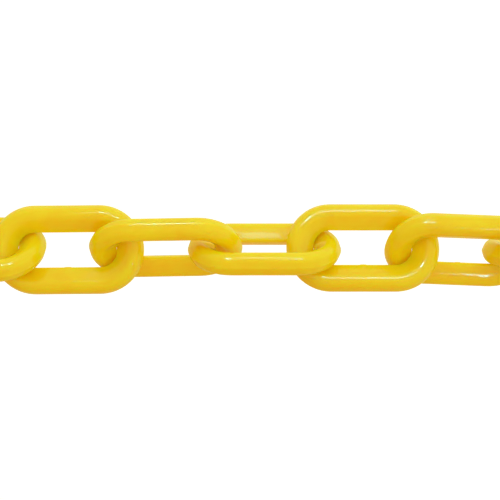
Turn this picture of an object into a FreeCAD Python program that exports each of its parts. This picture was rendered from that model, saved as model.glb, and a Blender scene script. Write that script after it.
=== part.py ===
"""A length of plastic barrier chain: nine closed links, each moulded in one piece.

Millimetres. +X runs along the chain and +Z is up. The origin is under the middle of the chain,
on the surface that it lies on. Each link is a ring with two straight sides and two round ends.
The chain is twisted along its length, so each link lies rolled against the one before it.
"""
import FreeCAD, Part
import math
import os

Vector = FreeCAD.Vector

# The bar that a link is made of. Its section is a rounded diamond: two edges in the plane of the
# link, two crests on its faces, and four slightly bulging flanks between them.
BAR_WIDTH = 8.05
BAR_THICKNESS = 6.8
EDGE_RADIUS = 0.9
CREST_RADIUS = 2.8
FLANK_RADIUS = 22.0
CREST_SHIFT = 0.9           # how far the crests stand outside the middle of the bar

# The ring that the bar follows, measured on the middle of the bar.
STRAIGHT = 19.0
BEND_RADIUS = 9.2

# The chain.
PLAY = 0.15                 # between the bars of two neighbours when the chain is straight
PITCH = STRAIGHT + 2 * BEND_RADIUS - BAR_WIDTH - PLAY
BEND_AFTER = 6              # the chain turns slightly after this many links
BEND = -2.3                 # degrees, seen from above

# How each link lies: its roll about the chain, its own small turn seen from above, both in degrees,
# and its small shift sideways. The turns and shifts use the play between neighbours.
LINKS = (
    ("link_01", 8.0, 0.0, 0.0),
    ("link_02", -51.0, -1.0, 0.1),
    ("link_03", 4.0, 0.5, -0.4),
    ("link_04", 58.0, 1.0, 0.1),
    ("link_05", 116.0, 0.0, 0.0),
    ("link_06", 169.5, 0.0, 0.3),
    ("link_07", 223.5, 0.0, 0.0),
    ("link_08", 281.0, 0.5, 0.0),
    ("link_09", 360.0, 0.0, 0.0),
)


def direction(degrees):
    """A unit vector in the XY plane, that many degrees from +X."""
    angle = math.radians(degrees)
    return Vector(math.cos(angle), math.sin(angle), 0)


def flank_centre(first, first_radius, second, second_radius):
    """Centre of the flank arc that touches two corner circles from outside, going anticlockwise."""
    first_gap = FLANK_RADIUS - first_radius
    second_gap = FLANK_RADIUS - second_radius
    step = second - first
    distance = step.Length
    along = (first_gap**2 - second_gap**2 + distance**2) / (2 * distance)
    inward = Vector(-step.y, step.x, 0) / distance
    return first + step * (along / distance) + inward * math.sqrt(first_gap**2 - along**2)


def arc(centre, radius, start, end):
    """An arc about a centre, from the direction of one point to the direction of another."""
    toward_start = (start - centre).normalize()
    toward_end = (end - centre).normalize()
    toward_middle = (toward_start + toward_end).normalize()
    points = [centre + toward * radius for toward in (toward_start, toward_middle, toward_end)]
    return Part.Arc(*points).toShape()


def section_edges():
    """The bar's section in the XY plane: +X points out of the ring, +Y out of its face."""
    edge_reach = BAR_WIDTH / 2 - EDGE_RADIUS
    crest_reach = BAR_THICKNESS / 2 - CREST_RADIUS
    corners = (
        (Vector(edge_reach, 0, 0), EDGE_RADIUS),
        (Vector(CREST_SHIFT, crest_reach, 0), CREST_RADIUS),
        (Vector(-edge_reach, 0, 0), EDGE_RADIUS),
        (Vector(CREST_SHIFT, -crest_reach, 0), CREST_RADIUS),
    )
    count = len(corners)
    flanks = []
    for index, (centre, radius) in enumerate(corners):
        next_centre, next_radius = corners[(index + 1) % count]
        flanks.append(flank_centre(centre, radius, next_centre, next_radius))
    edges = []
    for index, (centre, radius) in enumerate(corners):
        before = flanks[index - 1]
        after = flanks[index]
        next_centre = corners[(index + 1) % count][0]
        edges.append(arc(centre, radius, centre * 2 - before, centre * 2 - after))
        edges.append(arc(after, FLANK_RADIUS, centre, next_centre))
    return edges


def section_face():
    """The bar's section, placed at the middle of the side at +Y and facing along +X."""
    face = Part.Face(Part.Wire(section_edges()))
    # The section's X and Y become the link's Y and Z.
    face.Placement = FreeCAD.Placement(
        Vector(0, BEND_RADIUS, 0), FreeCAD.Rotation(Vector(0, 1, 0), Vector(0, 0, 1), Vector(1, 0, 0), "XYZ")
    )
    return face


def make_link():
    """One link, flat in the XY plane, with its long sides along X and its middle at the origin."""
    side = section_face()
    side.translate(Vector(-STRAIGHT / 2, 0, 0))
    bar = side.extrude(Vector(STRAIGHT, 0, 0))
    end = section_face()
    end.translate(Vector(STRAIGHT / 2, 0, 0))
    bend = end.revolve(Vector(STRAIGHT / 2, 0, 0), Vector(0, 0, -1), 180)
    half = bar.fuse(bend)
    other_half = half.copy()
    other_half.rotate(Vector(0, 0, 0), Vector(0, 0, 1), 180)
    return half.fuse(other_half).removeSplitter().Solids[0]


def link_places():
    """Each link's name, middle, heading seen from above and roll, along the chain from its first link."""
    places = []
    joint = Vector(0, 0, 0)
    for index, (name, roll, turn, shift) in enumerate(LINKS):
        heading = BEND if index >= BEND_AFTER else 0.0
        ahead = direction(heading)
        aside = direction(heading + 90)
        middle = joint + ahead * (PITCH / 2) + aside * shift
        places.append((name, middle, heading + turn, roll))
        joint = joint + ahead * PITCH
    return places


def placement(middle, heading, roll):
    """Rolls a link about its length, then turns it to its heading and moves it to its middle."""
    about_x = FreeCAD.Rotation(Vector(1, 0, 0), roll)
    about_z = FreeCAD.Rotation(Vector(0, 0, 1), heading)
    return FreeCAD.Placement(middle, about_z * about_x)


def chain():
    """Every link in its place, as {name: (shape, placement)}, with the origin under the middle."""
    link = make_link()
    lying = {}
    for name, middle, heading, roll in link_places():
        shape = link.copy()
        place = placement(middle, heading, roll)
        shape.Placement = place
        lying[name] = (shape, place)
    box = Part.makeCompound([shape for shape, place in lying.values()]).optimalBoundingBox(False)
    to_origin = Vector(-box.Center.x, -box.Center.y, -box.ZMin)
    for name, (shape, place) in lying.items():
        place.Base = place.Base + to_origin
        shape.Placement = place
    return lying


def main():
    os.makedirs("parts", exist_ok=True)
    for name, (shape, place) in chain().items():
        shape.exportStep(f"parts/{name}.step")
        print(name, "valid", shape.isValid(), "volume", round(shape.Volume, 1))


if __name__ == "__main__":
    main()
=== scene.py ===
"""Looks for a length of yellow plastic barrier chain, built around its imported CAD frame.

Every CAD link is replaced by a finer moulding of the same shape. Metres, +X along the chain, +Z up.
"""

import math

import bpy
import numpy as np
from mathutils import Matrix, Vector, noise


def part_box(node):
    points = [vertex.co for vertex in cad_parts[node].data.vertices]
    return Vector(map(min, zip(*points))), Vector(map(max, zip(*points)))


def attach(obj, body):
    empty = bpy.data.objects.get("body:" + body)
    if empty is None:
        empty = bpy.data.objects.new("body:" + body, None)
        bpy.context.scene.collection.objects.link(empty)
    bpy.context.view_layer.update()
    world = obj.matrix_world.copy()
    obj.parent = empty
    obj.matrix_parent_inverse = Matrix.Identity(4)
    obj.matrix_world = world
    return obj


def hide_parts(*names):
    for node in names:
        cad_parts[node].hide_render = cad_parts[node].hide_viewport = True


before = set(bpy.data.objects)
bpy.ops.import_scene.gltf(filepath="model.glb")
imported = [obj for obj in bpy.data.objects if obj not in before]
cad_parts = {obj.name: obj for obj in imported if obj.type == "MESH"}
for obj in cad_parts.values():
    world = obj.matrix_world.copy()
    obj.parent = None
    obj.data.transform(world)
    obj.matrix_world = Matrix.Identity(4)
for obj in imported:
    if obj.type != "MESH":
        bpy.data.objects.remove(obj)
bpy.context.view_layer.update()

MM = 0.001

# The bar's section, as in the CAD: a rounded diamond with crests that stand outside its middle.
BAR_WIDTH = 8.05 * MM
BAR_THICKNESS = 6.8 * MM
EDGE_RADIUS = 0.9 * MM
CREST_RADIUS = 2.8 * MM
FLANK_RADIUS = 22.0 * MM
CREST_SHIFT = 0.9 * MM

# What the mould leaves on a link.
SEAM_HEIGHT = 0.018 * MM
SEAM_WIDTH = 0.16 * MM
SWELL_HEIGHT = 0.06 * MM        # at the middle of each bend's inner edge, where links bear on each other
SWELL_WIDTH = 0.45 * MM
GATE_RADIUS = 1.1 * MM
GATE_HEIGHT = 0.13 * MM
SHRINKAGE = 0.03 * MM           # keeps the outer seam and the waves inside the CAD shape
WAVE_HEIGHT = 0.012 * MM
WAVE_LENGTH = 5.0 * MM
WAVE_STEP = 7.3                 # how far apart two links' waves are taken, so that no two links match

# How finely a link is meshed.
EDGE_STEPS = 14
CREST_STEPS = 18
FLANK_STEPS = 5
BEND_STEPS = 56
SIDE_STEPS = 26
GATE_STEPS = 18
GATE_REACH = 1.6 * GATE_RADIUS  # how far along the bar the gate's close stations reach

# The photograph's view: straight down on the chain.
CAMERA_HEIGHT = 272 * MM        # above the middle of the chain
VIEW_WIDTH = 148.4 * MM         # seen at that height
VIEW_SHIFT = (-4.27 * MM, -0.42 * MM)
SENSOR_WIDTH = 36.0
NEAREST_SEEN = 10 * MM

# The plastic's yellow, where it flowed thick and where it flowed thin.
DEEP_YELLOW = (0.92, 0.665, 0.008)
PALE_YELLOW = (0.94, 0.745, 0.014)
CLEARNESS = 0.9                 # share of the light that enters the plastic
LIGHT_REACH = 7.0 * MM          # how far it spreads inside
REACH_BY_COLOUR = (1.5, 0.65, 0.08)

# The plastic's patterns, as repeats to the metre.
STREAKS_ALONG = 90.0
STREAKS_AROUND = 1500.0
FLOW_SCALE = 110.0
WEAR_SCALE = 330.0
DIMPLE_SCALE = 420.0

# How much of them shows in the colour, in the roughness and in the relief of the skin.
STREAKS_IN_COLOUR = 0.35
STREAKS_IN_SKIN = 0.04
GLOSSIEST = 0.02
DULLEST = 0.07
SKIN_DEPTH = 0.2 * MM
SKIN_STRENGTH = 0.16

# The studio: a warm room that is brightest toward one side, and the floor's grey and its own glow.
ROOM_TOWARD = (0.56, 0.78, 0.27)
ROOM_BRIGHT = (1.11, 1.17, 0.56)
ROOM_DIM = (0.66, 0.36, 0.14)
FLOOR_GREY = 0.3
FLOOR_GLOW = 0.9

# The white sweep under and around the chain. It lies lower than the chain can swing.
FLOOR_DROP = 0.2
FLOOR_REACH = 2.0
SWEEP_RADIUS = 1.0
WALL_HEIGHT = 4.0
SWEEP_STEPS = 12
SWEEP_SIDES = 64

# Lamps, which give only reflections. Each is aimed at the chain from LAMP_AWAY, at a tilt from overhead
# toward +Y. A straight bar mirrors it between two places along the chain, in mm from the picture's middle.
LAMP_AWAY = 600 * MM
LAMP_COLOUR = (0.2, 0.85, 1.0)
LAMPS = (
    # name, tilt and width in degrees, brightness, mirrored from, mirrored to
    ("key_end", 37, 10, 2.6, -60, -46),
    ("key_left", 40, 10, 34, -46, -15),
    ("key_middle", 37, 10, 1.5, -13, 13),
    ("key_right", 37, 10, 11, 13, 52),
    ("softbox", 60, 14, 0.5, -75, 75),
    ("window", 52, 12, 3.2, -5, 13),
)
SMALL_LAMPS_TILT = -21.5
SMALL_LAMPS_WIDTH = 3
SMALL_LAMPS_BRIGHTNESS = 16
SMALL_LAMPS = (
    (-180, -176), (-131, -128), (-47, -44.6), (9.7, 12), (29, 31.5), (45, 47.5), (60.4, 62.2), (66.6, 75),
)


# ---------------------------------------------------------------- shape of a link

def link_axes(node):
    """A CAD link's middle and its length, width and face directions, from its surface's own moments."""
    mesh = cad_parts[node].data
    mesh.calc_loop_triangles()
    points = np.array([vertex.co for vertex in mesh.vertices])
    corners = points[np.array([triangle.vertices for triangle in mesh.loop_triangles])]
    spans = np.cross(corners[:, 1] - corners[:, 0], corners[:, 2] - corners[:, 0])
    areas = np.linalg.norm(spans, axis=1) / 2
    middle = (areas[:, None] * corners.mean(axis=1)).sum(axis=0) / areas.sum()
    corners = corners - middle
    # A triangle's second moment is its area over 12 times its corners' products plus 9 its centre's.
    products = np.einsum("nci,ncj->nij", corners, corners)
    centres = corners.mean(axis=1)
    products += 9 * np.einsum("ni,nj->nij", centres, centres)
    moment = (areas[:, None, None] * products).sum(axis=0) / 12
    directions = np.linalg.eigh(moment)[1]
    along = Vector(directions[:, 2])
    across = Vector(directions[:, 1])
    if along.x < 0:
        along.negate()
    if across.y < 0:
        across.negate()
    face = along.cross(across)
    extent = [float(np.ptp((points - middle) @ np.array(axis))) for axis in (along, across)]
    return Vector(middle), along, across, face, extent[0], extent[1]


def flank_centre(first, first_radius, second, second_radius):
    """Centre of the flank arc that touches two corner circles from outside, going anticlockwise."""
    first_gap = FLANK_RADIUS - first_radius
    second_gap = FLANK_RADIUS - second_radius
    step = second - first
    distance = step.length
    along = (first_gap**2 - second_gap**2 + distance**2) / (2 * distance)
    inward = Vector((-step.y, step.x)) / distance
    return first + step * (along / distance) + inward * math.sqrt(first_gap**2 - along**2)


def arc_points(centre, radius, start, end, steps):
    """Points along an anticlockwise arc, from the direction of one vector to another's, but not its last."""
    first = math.atan2(start.y, start.x)
    turn = (math.atan2(end.y, end.x) - first) % math.tau
    points = []
    for step in range(steps):
        angle = first + turn * step / steps
        points.append(centre + radius * Vector((math.cos(angle), math.sin(angle))))
    return points


def bar_section():
    """The bar's section as (outward, faceward) points, anticlockwise."""
    edge_reach = BAR_WIDTH / 2 - EDGE_RADIUS
    crest_reach = BAR_THICKNESS / 2 - CREST_RADIUS
    corners = (
        (Vector((edge_reach, 0)), EDGE_RADIUS, EDGE_STEPS),
        (Vector((CREST_SHIFT, crest_reach)), CREST_RADIUS, CREST_STEPS),
        (Vector((-edge_reach, 0)), EDGE_RADIUS, EDGE_STEPS),
        (Vector((CREST_SHIFT, -crest_reach)), CREST_RADIUS, CREST_STEPS),
    )
    count = len(corners)
    flanks = []
    for index, (centre, radius, steps) in enumerate(corners):
        following = corners[(index + 1) % count]
        flanks.append(flank_centre(centre, radius, following[0], following[1]))
    points = []
    for index, (centre, radius, steps) in enumerate(corners):
        before = flanks[index - 1]
        after = flanks[index]
        following = corners[(index + 1) % count][0]
        points += arc_points(centre, radius, centre - before, centre - after, steps)
        points += arc_points(after, FLANK_RADIUS, centre - after, following - after, FLANK_STEPS)
    return points


def ring_stations(straight, bend_radius):
    """(position, outward direction) along the ring, in its own plane, closest together at the gate mark."""
    half = straight / 2
    stations = []
    for x in np.linspace(-half, half, SIDE_STEPS, endpoint=False):
        stations.append((Vector((x, bend_radius)), Vector((0, 1))))
    for step in range(BEND_STEPS):
        angle = math.pi / 2 - math.pi * step / BEND_STEPS
        out = Vector((math.cos(angle), math.sin(angle)))
        stations.append((Vector((half, 0)) + bend_radius * out, out))
    gate_side = list(np.linspace(half, GATE_REACH, SIDE_STEPS // 2, endpoint=False))
    gate_side += list(np.linspace(GATE_REACH, -GATE_REACH, GATE_STEPS, endpoint=False))
    gate_side += list(np.linspace(-GATE_REACH, -half, SIDE_STEPS // 2, endpoint=False))
    for x in gate_side:
        stations.append((Vector((x, -bend_radius)), Vector((0, -1))))
    for step in range(BEND_STEPS):
        angle = -math.pi / 2 - math.pi * step / BEND_STEPS
        out = Vector((math.cos(angle), math.sin(angle)))
        stations.append((Vector((-half, 0)) + bend_radius * out, out))
    return stations


def mould_relief(place, section_point, straight, bend_radius, seed):
    """How far the moulded skin stands proud of the plain shape at a point: seam, swell, gate and waves."""
    height = -SHRINKAGE
    from_edge = abs(section_point.y)
    if abs(section_point.x) > BAR_WIDTH / 2 - EDGE_RADIUS:
        height += SEAM_HEIGHT * math.exp(-((from_edge / SEAM_WIDTH) ** 2))
    if section_point.x < 0:
        into_bend = (abs(place.x) - straight / 2) / (bend_radius - BAR_WIDTH / 2)
        if into_bend > 0:
            swell = SWELL_HEIGHT * min(into_bend, 1) ** 2
            height += swell * math.exp(-((from_edge / SWELL_WIDTH) ** 2))
        if place.y < 0:
            from_gate = math.hypot(place.x, place.z)
            if from_gate < GATE_RADIUS:
                height += GATE_HEIGHT * (1 - (from_gate / GATE_RADIUS) ** 4)
    wave = noise.noise(place / WAVE_LENGTH + Vector((seed * WAVE_STEP, 0, 0)))
    return height + WAVE_HEIGHT * wave


def link_mesh(name, node, seed):
    """The finished moulding of one link, in the place of its CAD node."""
    middle, along, across, face, length, width = link_axes(node)
    straight = length - width
    bend_radius = (width - BAR_WIDTH) / 2
    section = bar_section()
    normals = []
    for index, point in enumerate(section):
        chord = section[(index + 1) % len(section)] - section[index - 1]
        normals.append(Vector((chord.y, -chord.x)).normalized())
    stations = ring_stations(straight, bend_radius)
    vertices = []
    for position, out in stations:
        for point, normal in zip(section, normals):
            flat = position + out * point.x
            place = Vector((flat.x, flat.y, point.y))
            skin = Vector((out.x * normal.x, out.y * normal.x, normal.y))
            place += skin * mould_relief(place, point, straight, bend_radius, seed)
            vertices.append(middle + along * place.x + across * place.y + face * place.z)
    around = len(section)
    faces = []
    for station in range(len(stations)):
        here = station * around
        there = ((station + 1) % len(stations)) * around
        for index in range(around):
            beside = (index + 1) % around
            faces.append((here + index, here + beside, there + beside, there + index))
    mesh = bpy.data.meshes.new(name)
    mesh.from_pydata([tuple(vertex) for vertex in vertices], [], faces)
    mesh.polygons.foreach_set("use_smooth", [True] * len(mesh.polygons))
    add_bar_map(mesh, stations, section)
    mesh.update()
    return mesh


def lengths_along(points):
    """How far each point of a closed line is from its first, with the whole length at the end."""
    lengths = [0.0]
    for index, point in enumerate(points):
        lengths.append(lengths[-1] + (points[(index + 1) % len(points)] - point).length)
    return lengths


def add_bar_map(mesh, stations, section):
    """Maps the surface in metres: along the bar, then around it."""
    along = lengths_along([position for position, out in stations])
    around = lengths_along(section)
    corners = []
    for station in range(len(stations)):
        for index in range(len(section)):
            for step, turn in ((0, 0), (0, 1), (1, 1), (1, 0)):
                corners += [along[station + step], around[index + turn]]
    layer = mesh.uv_layers.new(name="bar")
    layer.data.foreach_set("uv", corners)


# ---------------------------------------------------------------- materials

def add_node(tree, kind, **inputs):
    """A shader node with some of its inputs set."""
    made = tree.nodes.new(kind)
    for socket, value in inputs.items():
        made.inputs[socket.replace("_", " ")].default_value = value
    return made


def plastic_material():
    """Glossy, slightly translucent yellow polyethylene, with moulding flow in its colour and skin."""
    material = bpy.data.materials.new("yellow_plastic")
    material.use_nodes = True
    tree = material.node_tree
    surface = tree.nodes["Principled BSDF"]
    place = tree.nodes.new("ShaderNodeTexCoord")

    # Streaks that follow the bar, drawn out along it.
    drawn = tree.nodes.new("ShaderNodeMapping")
    drawn.inputs["Scale"].default_value = (STREAKS_ALONG, STREAKS_AROUND, 1.0)
    streaks = add_node(tree, "ShaderNodeTexNoise", Scale=1.0, Detail=3.0, Roughness=0.6, Distortion=0.3)
    tree.links.new(place.outputs["UV"], drawn.inputs["Vector"])
    tree.links.new(drawn.outputs["Vector"], streaks.inputs["Vector"])

    # Clouds of slightly different yellow where the plastic flowed, with the streaks in them.
    flow = add_node(tree, "ShaderNodeTexNoise", Scale=FLOW_SCALE, Detail=4.0, Roughness=0.55, Distortion=0.6)
    mixed = add_node(tree, "ShaderNodeMath")
    mixed.operation = "MULTIPLY_ADD"
    mixed.inputs[1].default_value = STREAKS_IN_COLOUR
    tint = tree.nodes.new("ShaderNodeValToRGB")
    tint.color_ramp.elements[0].position = 0.45
    tint.color_ramp.elements[0].color = (*DEEP_YELLOW, 1)
    tint.color_ramp.elements[1].position = 0.9
    tint.color_ramp.elements[1].color = (*PALE_YELLOW, 1)
    tree.links.new(place.outputs["Object"], flow.inputs["Vector"])
    tree.links.new(streaks.outputs["Fac"], mixed.inputs[0])
    tree.links.new(flow.outputs["Fac"], mixed.inputs[2])
    tree.links.new(mixed.outputs["Value"], tint.inputs["Fac"])
    tree.links.new(tint.outputs["Color"], surface.inputs["Base Color"])

    # Gloss that varies with handling.
    wear = add_node(tree, "ShaderNodeTexNoise", Scale=WEAR_SCALE, Detail=5.0, Roughness=0.65)
    gloss = add_node(tree, "ShaderNodeMapRange",
                     From_Min=0.3, From_Max=0.75, To_Min=GLOSSIEST, To_Max=DULLEST)
    tree.links.new(place.outputs["Object"], wear.inputs["Vector"])
    tree.links.new(wear.outputs["Fac"], gloss.inputs["Value"])
    tree.links.new(gloss.outputs["Result"], surface.inputs["Roughness"])

    # A moulded skin: soft dimples under fine streaks.
    dimples = add_node(tree, "ShaderNodeTexNoise", Scale=DIMPLE_SCALE, Detail=2.0, Roughness=0.5)
    skin = add_node(tree, "ShaderNodeMath")
    skin.operation = "MULTIPLY_ADD"
    skin.inputs[1].default_value = STREAKS_IN_SKIN
    bump = add_node(tree, "ShaderNodeBump", Strength=SKIN_STRENGTH, Distance=SKIN_DEPTH)
    tree.links.new(place.outputs["Object"], dimples.inputs["Vector"])
    tree.links.new(streaks.outputs["Fac"], skin.inputs[0])
    tree.links.new(dimples.outputs["Fac"], skin.inputs[2])
    tree.links.new(skin.outputs["Value"], bump.inputs["Height"])
    tree.links.new(bump.outputs["Normal"], surface.inputs["Normal"])

    surface.inputs["Subsurface Weight"].default_value = CLEARNESS
    surface.inputs["Subsurface Radius"].default_value = REACH_BY_COLOUR
    surface.inputs["Subsurface Scale"].default_value = LIGHT_REACH
    surface.inputs["IOR"].default_value = 1.5
    return material


def floor_material():
    """Pale grey that glows, so that it looks white and shows almost no shadow."""
    material = bpy.data.materials.new("white_floor")
    material.use_nodes = True
    surface = material.node_tree.nodes["Principled BSDF"]
    surface.inputs["Base Color"].default_value = (FLOOR_GREY, FLOOR_GREY, FLOOR_GREY, 1)
    surface.inputs["Roughness"].default_value = 1.0
    surface.inputs["Specular IOR Level"].default_value = 0.0
    surface.inputs["Emission Color"].default_value = (1, 1, 1, 1)
    surface.inputs["Emission Strength"].default_value = FLOOR_GLOW
    return material


# ---------------------------------------------------------------- pieces

def make_links():
    """One moulding for every CAD link, riding on that link's body."""
    material = plastic_material()
    for seed, node in enumerate(sorted(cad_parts)):
        mesh = link_mesh(f"{node}_moulding", node, seed)
        mesh.materials.append(material)
        piece = bpy.data.objects.new(f"{node}_moulding", mesh)
        bpy.context.scene.collection.objects.link(piece)
        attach(piece, node)
        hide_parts(node)


def sweep_profile():
    """(distance from the middle, height) along the sweep: flat floor, then a quarter round, then a wall."""
    profile = [(FLOOR_REACH, 0)]
    for step in range(SWEEP_STEPS + 1):
        angle = math.pi / 2 * step / SWEEP_STEPS
        distance = FLOOR_REACH + SWEEP_RADIUS * math.sin(angle)
        profile.append((distance, SWEEP_RADIUS * (1 - math.cos(angle))))
    profile.append((FLOOR_REACH + SWEEP_RADIUS, WALL_HEIGHT))
    return profile


def make_floor():
    """The white sweep, as rings of its profile around the middle."""
    vertices = [(0, 0, 0)]
    faces = []
    for ring, (distance, height) in enumerate(sweep_profile()):
        for turn in range(SWEEP_SIDES):
            angle = math.tau * turn / SWEEP_SIDES
            vertices.append((distance * math.cos(angle), distance * math.sin(angle), height))
            here = 1 + ring * SWEEP_SIDES + turn
            beside = 1 + ring * SWEEP_SIDES + (turn + 1) % SWEEP_SIDES
            if ring == 0:
                faces.append((0, here, beside))
            else:
                faces.append((here - SWEEP_SIDES, here, beside, beside - SWEEP_SIDES))
    mesh = bpy.data.meshes.new("floor")
    mesh.from_pydata(vertices, [], faces)
    mesh.polygons.foreach_set("use_smooth", [True] * len(mesh.polygons))
    mesh.materials.append(floor_material())
    floor = bpy.data.objects.new("floor", mesh)
    floor.location.z = -FLOOR_DROP
    # The links don't mirror the bright floor, as if they were photographed well above it.
    floor.visible_diffuse = False
    floor.visible_glossy = False
    bpy.context.scene.collection.objects.link(floor)


def strip_light(name, tilt, span, radiance, seen_from, seen_to, target):
    """A long lamp beside the chain, placed so that it is mirrored between two places on a straight bar."""
    tilt = math.radians(tilt)
    height = LAMP_AWAY * math.cos(tilt)
    spread = 1 + height / CAMERA_HEIGHT
    length = (seen_to - seen_from) * MM * spread
    width = LAMP_AWAY * math.radians(span)
    middle = (seen_from + seen_to) * MM / 2 * spread + VIEW_SHIFT[0]
    data = bpy.data.lights.new(name, "AREA")
    data.color = LAMP_COLOUR
    data.shape = "RECTANGLE"
    data.size = length
    data.size_y = width
    data.energy = radiance * math.pi * length * width
    lamp = bpy.data.objects.new(name, data)
    lamp.location = target + Vector((middle, LAMP_AWAY * math.sin(tilt), height))
    lamp.rotation_euler = (-tilt, 0, 0)
    # It only puts its reflection on the plastic; the room does the lighting.
    lamp.visible_diffuse = False
    lamp.visible_camera = False
    bpy.context.scene.collection.objects.link(lamp)


def make_room():
    """Even light from all round, a little brighter and whiter from one side than from the other."""
    world = bpy.data.worlds.new("studio")
    bpy.context.scene.world = world
    world.use_nodes = True
    tree = world.node_tree
    place = tree.nodes.new("ShaderNodeTexCoord")
    side = tree.nodes.new("ShaderNodeVectorMath")
    side.operation = "DOT_PRODUCT"
    side.inputs[1].default_value = Vector(ROOM_TOWARD).normalized()
    share = add_node(tree, "ShaderNodeMapRange", From_Min=-1.0, From_Max=1.0)
    shade = tree.nodes.new("ShaderNodeValToRGB")
    shade.color_ramp.elements[0].color = (*ROOM_DIM, 1)
    shade.color_ramp.elements[1].color = (*ROOM_BRIGHT, 1)
    tree.links.new(place.outputs["Generated"], side.inputs[0])
    tree.links.new(side.outputs["Value"], share.inputs["Value"])
    tree.links.new(share.outputs["Result"], shade.inputs["Fac"])
    tree.links.new(shade.outputs["Color"], tree.nodes["Background"].inputs["Color"])


def make_lights(target):
    """The room and every lamp."""
    make_room()
    for name, *lamp in LAMPS:
        strip_light(name, *lamp, target)
    for index, (seen_from, seen_to) in enumerate(SMALL_LAMPS):
        strip_light(f"small_lamp_{index}", SMALL_LAMPS_TILT, SMALL_LAMPS_WIDTH, SMALL_LAMPS_BRIGHTNESS,
                    seen_from, seen_to, target)


def make_camera(target):
    """The photograph's camera, straight above the chain."""
    data = bpy.data.cameras.new("camera")
    data.sensor_width = SENSOR_WIDTH
    data.lens = SENSOR_WIDTH * CAMERA_HEIGHT / VIEW_WIDTH
    data.clip_start = NEAREST_SEEN
    camera = bpy.data.objects.new("camera", data)
    camera.location = target + Vector((VIEW_SHIFT[0], VIEW_SHIFT[1], CAMERA_HEIGHT))
    bpy.context.scene.collection.objects.link(camera)
    bpy.context.scene.camera = camera


def middle_of(node):
    """The middle of a node's box at rest."""
    low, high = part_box(node)
    return (low + high) / 2


chain_middle = middle_of("link_05")
make_camera(chain_middle)
make_links()
make_floor()
make_lights(chain_middle)
bpy.context.scene.view_settings.view_transform = "Standard"
